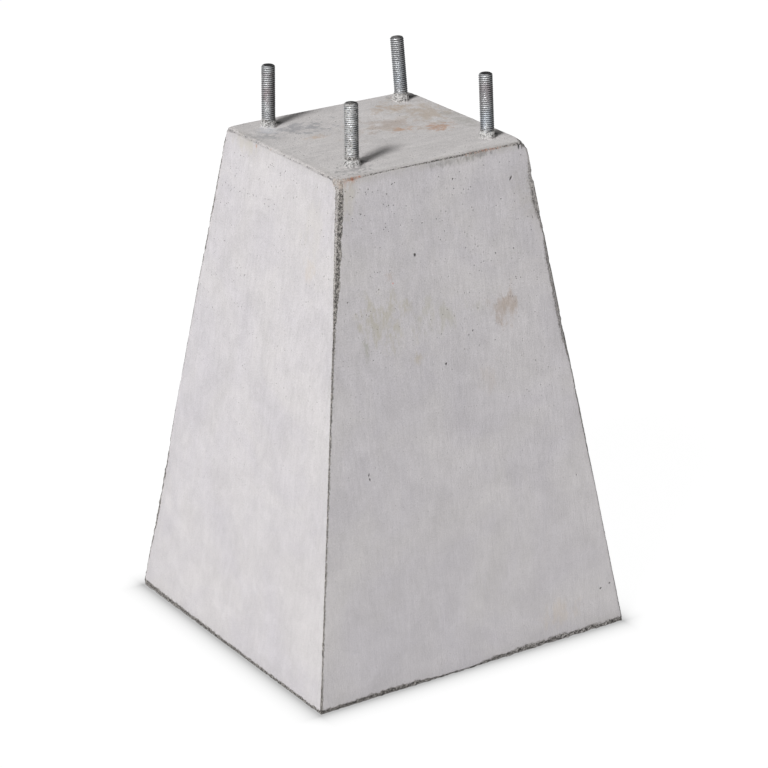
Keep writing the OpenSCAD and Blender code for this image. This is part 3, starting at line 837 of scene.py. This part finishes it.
def makeConcrete():
    look = concreteLook
    material, tree, shader, place = newMaterial("castConcrete", look["roughness"])
    height = addNode(tree, "ShaderNodeSeparateXYZ", {"Vector": place}).outputs["Z"]
    isTop = spread(tree, height, *look["topFrom"])
    drawn = {"streak": drawnOut(tree, place, look["streakDraw"]),
             "stroke": drawnOut(tree, place, *look["strokeDraw"])}
    marks = {name: placeGroup(tree, mottle, Vector=drawn.get(name, place), Scale=scale, Warp=warp)
             for name, (scale, warp) in look["patterns"].items()}
    sand, coarse = (placeGroup(tree, grain, Vector=place, Scale=look[name][0], Roughness=look[name][1])
                    for name in ("sand", "coarse"))
    cloud, patchy = marks["cloud"], marks["patchy"]
    colour = mixColour(tree, marks["broad"], look["cool"], look["warm"])
    colour = mixColour(tree, isTop, colour, look["top"])
    # light and dark: the sides are smoother low down
    lively = spread(tree, height, 0.02, 0.26, 0.55, 1.0)
    swings = {name: swing(tree, marks[name], size) for name, size in look["swings"].items()}
    contrast = spread(tree, isTop, 0.0, 1.0, *look["contrast"])
    lift = total(tree, product(tree, swing(tree, sand, 1.0), contrast, lively),
                 mixValue(tree, isTop, product(tree, swings["streak"], lively), swings["stroke"]),
                 swings["cloud"], swings["patchy"], swings["broad"],
                 spread(tree, height, 0.0, 0.36, 0.99, 1.03))
    colour = mixColour(tree, 1.0, colour, greyOf(tree, lift), "MULTIPLY")
    colour = addStainsAndShade(tree, place, colour, stainsAndShadows)
    # grime beside a break, partly painted shade below the top rim, thinning over a few millimetres
    inside = pointValue(tree, "breakDepth")
    speckle = total(tree, product(tree, cloud, 0.5), product(tree, coarse, 0.5))
    beside = product(tree, spread(tree, inside, -4.5, 0.0), pointValue(tree, "soilAndShade"),
                     spread(tree, speckle, 0.25, 0.75, 0.2, 1.1))
    colour = mixColour(tree, product(tree, beside, 0.7), colour, look["soilAndShade"])
    # in a break: a pale strip with a dark outline, and a strip of dark sand and paste that is partly painted
    # shade, most at the foot's undercut
    broken = spread(tree, total(tree, inside, swing(tree, coarse, 0.9)), -0.12, 0.18)
    dark = spread(tree, total(tree, pointValue(tree, "stripSide"), swing(tree, coarse, 0.35)), -0.1, 0.1)
    outline = spread(tree, total(tree, inside, swing(tree, coarse, 0.4)), 0.3, 0.75, 1.0, 0.0)
    dark = maths(tree, "MAXIMUM", dark, product(tree, outline, 0.85))
    gritty = total(tree, product(tree, sand, 0.45), product(tree, coarse, 0.55))
    paleColour = mixColour(tree, spread(tree, gritty, 0.3, 0.64), look["paleDark"], look["pale"])
    paleMask = product(tree, broken, pointValue(tree, "wornPale"), spread(tree, coarse, 0.05, 0.5, 0.5, 1.0))
    colour = mixColour(tree, paleMask, colour, paleColour)
    darkColour = mixColour(tree, spread(tree, gritty, 0.36, 0.74), look["brokenDarkAndShade"], look["brokenLight"])
    worn = spread(tree, total(tree, pointValue(tree, "wornDarkAndShade"), swing(tree, coarse, -0.9)), 0.42, 0.66)
    colour = mixColour(tree, product(tree, broken, dark, worn), colour, darkColour)
    colour = addStainsAndShade(tree, place, colour, edgeMarks)
    collarColour = mixColour(tree, spread(tree, gritty, 0.3, 0.56), look["collarDark"], look["collar"])
    colour = mixColour(tree, pointValue(tree, "collar"), colour, collarColour)
    # pinholes, thicker in the upper part of the sides, painted near black as shade in them
    tiny, small = (placeGroup(tree, pinholes, Vector=place, Scale=scale, Share=share, Width=width)
                   for scale, share, width in (look["tinyHoles"], look["smallHoles"]))
    pinholesAndShade = product(tree, maths(tree, "MAXIMUM", tiny, small), spread(tree, height, 0.05, 0.36, 0.2, 1.0),
                   spread(tree, patchy, 0.3, 0.8, 0.35, 1.0))
    colour = mixColour(tree, product(tree, pinholesAndShade, 0.95), colour, look["hole"])
    # painted shade in the blow holes
    colour = mixColour(tree, product(tree, pointValue(tree, "blowHoleShade"), 0.85), colour, look["hole"])
    tree.links.new(colour, shader.inputs["Base Color"])
    relief = total(tree, product(tree, sand, spread(tree, isTop, 0.0, 1.0, 0.8, 1.6)),
                   product(tree, marks["streak"], 0.5), product(tree, broken, coarse, 2.5),
                   product(tree, pinholesAndShade, -3.0), product(tree, isTop, marks["stroke"], 1.5))
    addBump(tree, shader, relief, look["bump"])
    return material


zincLook = {
    "bright": (0.82, 0.84, 0.85), "dull": (0.56, 0.57, 0.59), "mauve": (0.36, 0.29, 0.3),
    # the groove colour is painted shade in the thread's grooves
    "blue": (0.55, 0.63, 0.72), "groove": (0.02, 0.019, 0.02), "grime": (0.06, 0.055, 0.05),
    "cement": (0.48, 0.465, 0.45), "cementDark": (0.045, 0.042, 0.04),
    "sawn": (0.05, 0.05, 0.053), "worn": (0.42, 0.4, 0.39), "roughness": 0.46, "metallic": 0.8,
    # the crest light setting: how much the crests keep their light under the painted side shade
    "crestLight": 0.68,           # below 1, the crests keep more of their light on the dark side
    "bump": {"Strength": 0.4, "Distance": 0.0002},
}
# Patches along the studs, in millimetres: centre, radii, colour, strength
zincPatches = [
    ((-52.5, 58, 394), (12, 12, 12), "mauve", 0.8),
    ((-52.5, 58, 407), (12, 12, 3), "mauve", 0.5),
    ((59.5, -51.5, 402), (12, 12, 14), "mauve", 0.6),
    ((60.5, -52, 383), (12, 12, 12), "blue", 0.6),
    ((57, 60, 414), (12, 12, 7), "dull", 0.6),
    ((60, 58, 388), (12, 12, 18), "blue", 0.5),
    ((58.1, 59.5, 415.8), (8, 8, 3.4), "worn", 0.8),
    ((-52.5, -52, 413), (8, 8, 3.0), "worn", 0.5),
]


def makeZinc():
    look = zincLook
    material, tree, shader, place = newMaterial("galvanisedSteel", look["roughness"], look["metallic"])
    cloud = placeGroup(tree, mottle, Vector=place, Scale=190.0, Warp=0.5)
    sand, coarse = (placeGroup(tree, grain, Vector=place, Scale=scale, Roughness=rough)
                    for scale, rough in ((1400.0, 0.7), (900.0, 0.8)))
    colour = mixColour(tree, cloud, look["bright"], look["dull"])
    colour = mixColour(tree, product(tree, sand, 0.3), colour, look["grime"])
    colour = mixColour(tree, pointValue(tree, "sawn"), colour, look["sawn"])
    colour = addStainsAndShade(tree, place, colour, [(centre, radii, look[tint], strength, 0.8, 300)
                                             for centre, radii, tint, strength in zincPatches])
    # painted shade in the grooves, deeper on the dark side
    deep, paintedSideShade = pointValue(tree, "groove"), pointValue(tree, "paintedSideShade")
    grooveShade = product(tree, deep, spread(tree, cloud, 0.0, 1.0, 0.86, 1.0),
                     spread(tree, paintedSideShade, 0.45, 1.0, 1.0, 0.76))
    colour = mixColour(tree, grooveShade, colour, look["groove"])
    # painted shade on the sides of each stud, lighter on the crests than in the grooves
    paintedShade = mixValue(tree, deep, maths(tree, "POWER", paintedSideShade, look["crestLight"]), paintedSideShade)
    colour = mixColour(tree, 1.0, colour, greyOf(tree, paintedShade), "MULTIPLY")
    crust = pointValue(tree, "crust")
    cement = mixColour(tree, spread(tree, coarse, 0.32, 0.66), look["cementDark"], look["cement"])
    colour = mixColour(tree, crust, colour, cement)
    tree.links.new(colour, shader.inputs["Base Color"])
    matt = maths(tree, "MAXIMUM", crust, product(tree, deep, 0.7))
    tree.links.new(spread(tree, matt, 0.0, 1.0, look["metallic"], 0.0), shader.inputs["Metallic"])
    rough = total(tree, product(tree, cloud, 0.15), look["roughness"] - 0.05)
    tree.links.new(maths(tree, "MAXIMUM", rough, product(tree, crust, 0.9)), shader.inputs["Roughness"])
    addBump(tree, shader, coarse, look["bump"])
    return material


concrete = makeConcrete()
zinc = makeZinc()
blockPiece.data.materials.append(concrete)
for piece in studPieces:
    piece.data.materials.append(zinc)
print("materials made")


# The stage: a plain pale table with a painted contact shadow at the block's foot, soft light and the camera
table = {"radius": 7.0, "sides": 64, "own": 0.99, "albedo": 0.04, "roughness": 0.9,
         "paintedShade": (0.5, 6.8)}    # how much darker it is at the block's foot, and over how many millimetres
lights = {
    "key": {"from": (-0.684, -0.29, 0.669), "strength": 3.04, "angle": 14.0, "away": 3.0},
    "sky": {"low": 0.42, "high": 0.15, "turnsAt": 0.7},
}
camera = {"yaw": 32.98, "pitch": 22.03, "roll": -0.56, "distance": 2.321,
          "aimRight": 0.0048, "aimUp": 0.1641, "lens": 144.8, "sensor": 36.0, "far": 50.0}


# A flat disc. Its painted shadow at the foot falls as exp(-distance from the foot's rectangle / reach),
# with the distance counted along x and then along y, so that it is tight at the corners.
def buildTable():
    turn = np.linspace(0, 2 * np.pi, table["sides"] + 1)[:-1]
    rim = np.stack([table["radius"] * np.cos(turn), table["radius"] * np.sin(turn), 0 * turn], 1)
    mesh = bpy.data.meshes.new("paleTable")
    mesh.from_pydata(rim.tolist(), [], [list(range(table["sides"]))])
    floor = bpy.data.objects.new("paleTable", mesh)
    bpy.context.scene.collection.objects.link(floor)
    material, tree, shader, place = newMaterial("paleTable", table["roughness"])
    shader.inputs["Specular IOR Level"].default_value = 0.0
    half = (block["footW"] / 2 * mm, block["footD"] / 2 * mm, 0.0)
    past = vectorMaths(tree, "SUBTRACT", vectorMaths(tree, "ABSOLUTE", place), half)
    outside = vectorMaths(tree, "MAXIMUM", past)
    away = vectorMaths(tree, "DOT_PRODUCT", outside, (1.0, 1.0, 1.0), out=1)
    deepest, reach = table["paintedShade"]
    paintedShadowFade = maths(tree, "EXPONENT", product(tree, away, -1.0 / (reach * mm)))
    paintedShadeFactor = maths(tree, "SUBTRACT", 1.0, product(tree, paintedShadowFade, deepest))
    for socket, value in (("Base Color", table["albedo"]), ("Emission Color", table["own"])):
        tree.links.new(greyOf(tree, product(tree, paintedShadeFactor, value)), shader.inputs[socket])
    shader.inputs["Emission Strength"].default_value = 1.0
    mesh.materials.append(material)


# The key is a broad sun. The sky is bright low down and dimmer above, as round a white studio.
def buildLights():
    key, sky = lights["key"], lights["sky"]
    sun = bpy.data.lights.new("softKey", "SUN")
    sun.energy = key["strength"]
    sun.angle = math.radians(key["angle"])
    lamp = bpy.data.objects.new("softKey", sun)
    way = np.array(key["from"])
    lamp.rotation_euler = (0.0, math.acos(way[2] / np.linalg.norm(way)), math.atan2(way[1], way[0]))
    lamp.location = (way * key["away"]).tolist()
    bpy.context.scene.collection.objects.link(lamp)
    world = bpy.data.worlds.new("studio")
    world.use_nodes = True
    tree = world.node_tree
    skyward = tree.nodes.new("ShaderNodeTexCoord").outputs["Generated"]
    up = addNode(tree, "ShaderNodeSeparateXYZ", {"Vector": skyward}).outputs["Z"]
    grey = greyOf(tree, spread(tree, up, 0.0, sky["turnsAt"], sky["low"], sky["high"]))
    tree.links.new(grey, tree.nodes["Background"].inputs["Color"])
    bpy.context.scene.world = world


# The camera looks along yaw and down by pitch at a point beside the origin
def buildCamera():
    yaw, pitch, roll = (math.radians(camera[key]) for key in ("yaw", "pitch", "roll"))
    right = np.array([math.cos(yaw), -math.sin(yaw), 0])
    ahead = np.array([math.sin(yaw) * math.cos(pitch), math.cos(yaw) * math.cos(pitch), -math.sin(pitch)])
    up = np.cross(right, ahead)
    place = -camera["distance"] * ahead + camera["aimRight"] * right + camera["aimUp"] * up
    across = right * math.cos(roll) + up * math.sin(roll)
    over = -right * math.sin(roll) + up * math.cos(roll)
    data = bpy.data.cameras.new("productCamera")
    data.lens = camera["lens"]
    data.sensor_width = camera["sensor"]
    data.clip_end = camera["far"]
    eye = bpy.data.objects.new("productCamera", data)
    matrix = np.eye(4)
    matrix[:3] = np.stack([across, over, -ahead, place], 1)
    eye.matrix_world = Matrix(matrix.tolist())
    bpy.context.scene.collection.objects.link(eye)
    bpy.context.scene.camera = eye


buildTable()
buildLights()
buildCamera()
bpy.context.scene.view_settings.view_transform = "Standard"
print("stage made")
